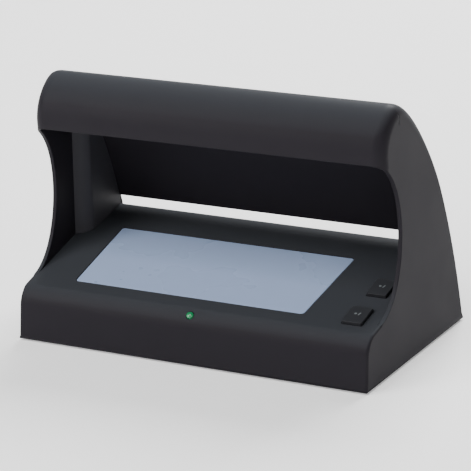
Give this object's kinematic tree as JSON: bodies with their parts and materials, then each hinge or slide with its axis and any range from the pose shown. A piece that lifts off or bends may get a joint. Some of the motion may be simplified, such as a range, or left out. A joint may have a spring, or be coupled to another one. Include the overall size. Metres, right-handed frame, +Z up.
{
  "type": "counterfeit bill detector",
  "caption": "Arch-shaped counter-top viewer with ultraviolet lamps in its hood, an opal light window in its sloping deck and push buttons.",
  "frame": {"origin": "centre of the footprint on the table top, under the feet", "axes": "+Z up, +X to the user's right along the long side, -Y towards the user"},
  "size_m": [0.2808, 0.1526, 0.1808],
  "materials": {
    "black_abs": "satin spark-textured injection moulding",
    "dark_inner_abs": "matt moulding, unpainted",
    "button_abs": "fine satin moulding",
    "opal_acrylic": "opal, satin top",
    "white_abs": "white moulding",
    "uv_lamp_glass": "dark violet filter glass, polished",
    "aluminium": "pressed caps, satin",
    "polished_reflector": "bright rolled sheet",
    "white_pbt": "white moulding",
    "zinc_steel": "bright zinc plate",
    "black_rubber": "matt moulded rubber",
    "green_led_epoxy": "tinted clear epoxy, polished",
    "green_laminate": "solder resist over laminate",
    "switch_nylon": "moulded nylon",
    "plunger_acetal": "moulded acetal",
    "lead_pvc": "extruded PVC insulation",
    "ferrite_core": "sintered ferrite, matt",
    "capacitor_sleeve": "heat-shrunk sleeve",
    "fuse_glass": "clear tube"
  },
  "bodies": {
    "body": {"housing_shell": "black_abs", "bottom_plate": "black_abs", "left_wire_duct": "black_abs", "right_wire_duct": "black_abs", "lamp_tray": "dark_inner_abs", "hood_reflector": "polished_reflector", "uv_tube_front": "uv_lamp_glass", "uv_tube_rear": "uv_lamp_glass", "lamp_cap_front_left": "aluminium", "lamp_cap_front_right": "aluminium", "lamp_cap_rear_left": "aluminium", "lamp_cap_rear_right": "aluminium", "lamp_holder_front_left": "white_pbt", "lamp_holder_front_right": "white_pbt", "lamp_holder_rear_left": "white_pbt", "lamp_holder_rear_right": "white_pbt", "lamp_lead_left": "lead_pvc", "lamp_lead_right": "lead_pvc", "diffuser_window": "opal_acrylic", "light_box": "white_abs", "backlight_board": "white_abs", "front_button_spring": "zinc_steel", "rear_button_spring": "zinc_steel", "front_switch": "switch_nylon", "rear_switch": "switch_nylon", "switch_board": "green_laminate", "status_led": "green_led_epoxy", "led_board": "green_laminate", "ballast_board": "green_laminate", "lamp_choke_1": "ferrite_core", "lamp_choke_2": "ferrite_core", "bulk_capacitor": "capacitor_sleeve", "mains_fuse": "fuse_glass", "power_inlet": "switch_nylon", "inlet_lead": "lead_pvc", "foot_front_left": "black_rubber", "foot_front_right": "black_rubber", "foot_rear_left": "black_rubber", "foot_rear_right": "black_rubber", "base_screw_1": "zinc_steel", "base_screw_2": "zinc_steel", "base_screw_3": "zinc_steel", "base_screw_4": "zinc_steel"},
    "front_button": {"front_button": "button_abs", "front_switch_plunger": "plunger_acetal"},
    "rear_button": {"rear_button": "button_abs", "rear_switch_plunger": "plunger_acetal"}
  },
  "joints": [
    {"name": "front_button_press", "type": "slide", "parent": "body", "child": "front_button", "axis": [0, 0.1819, -0.9833], "range_m": [0, 0.0018], "stiffness_N_per_m": 300, "springref_m": -0.002, "deforming": ["front_button_spring"]},
    {"name": "rear_button_press", "type": "slide", "parent": "body", "child": "rear_button", "axis": [0, 0.1819, -0.9833], "range_m": [0, 0.0018], "stiffness_N_per_m": 300, "springref_m": -0.002, "deforming": ["rear_button_spring"]}
  ]
}
